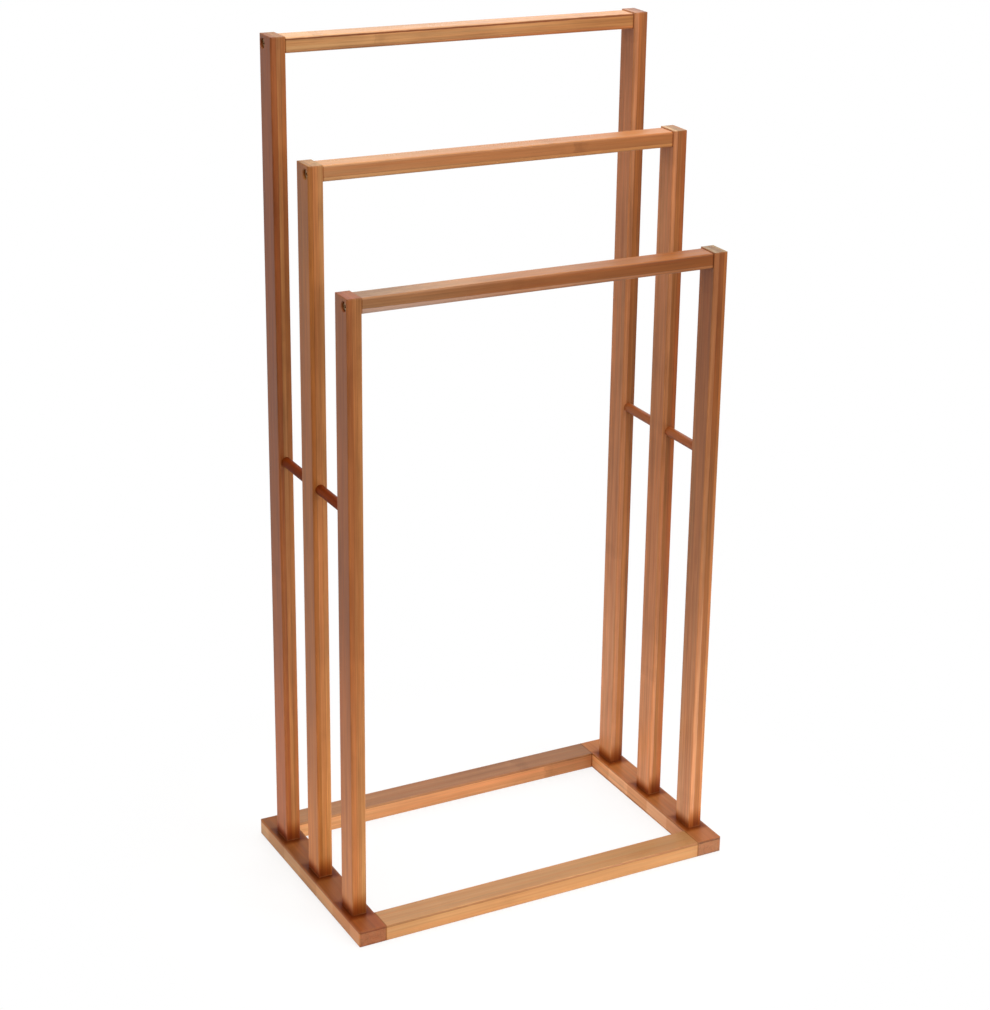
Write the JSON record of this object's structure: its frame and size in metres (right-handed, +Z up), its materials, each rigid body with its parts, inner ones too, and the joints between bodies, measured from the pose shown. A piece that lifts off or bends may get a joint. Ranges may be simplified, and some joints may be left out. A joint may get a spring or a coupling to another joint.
{
  "type": "towel rack",
  "caption": "Free-standing stepped towel rack of stained bamboo: towel bars at falling heights between slim posts on a flat rectangular base frame.",
  "frame": {"origin": "middle of the rectangle that the base covers, on the floor", "axes": "+X along the towel bars to the right, -Y to the front where the lowest towel bar is, +Z up"},
  "size_m": [0.4, 0.245, 0.82],
  "materials": {
    "bamboo_base": "satin lacquer over brown stained laminated bamboo",
    "bamboo_posts": "satin lacquer over brown stained laminated bamboo",
    "bamboo_bars": "satin lacquer over brown stained laminated bamboo",
    "bamboo_rods": "satin lacquer over brown stained bamboo",
    "dowel_wood": "plain, glued",
    "screw_steel": "zinc plated"
  },
  "bodies": {
    "root": {"base_side_left": "bamboo_base", "base_side_right": "bamboo_base", "base_rail_front": "bamboo_base", "base_rail_rear": "bamboo_base", "post_left_rear": "bamboo_posts", "post_left_middle": "bamboo_posts", "post_left_front": "bamboo_posts", "post_right_rear": "bamboo_posts", "post_right_middle": "bamboo_posts", "post_right_front": "bamboo_posts", "towel_bar_rear": "bamboo_bars", "towel_bar_middle": "bamboo_bars", "towel_bar_front": "bamboo_bars", "side_rod_left": "bamboo_rods", "side_rod_right": "bamboo_rods", "bar_screws": "screw_steel", "bar_pins": "dowel_wood", "post_screws": "screw_steel", "post_pins": "dowel_wood", "corner_dowels": "dowel_wood"}
  },
  "joints": []
}
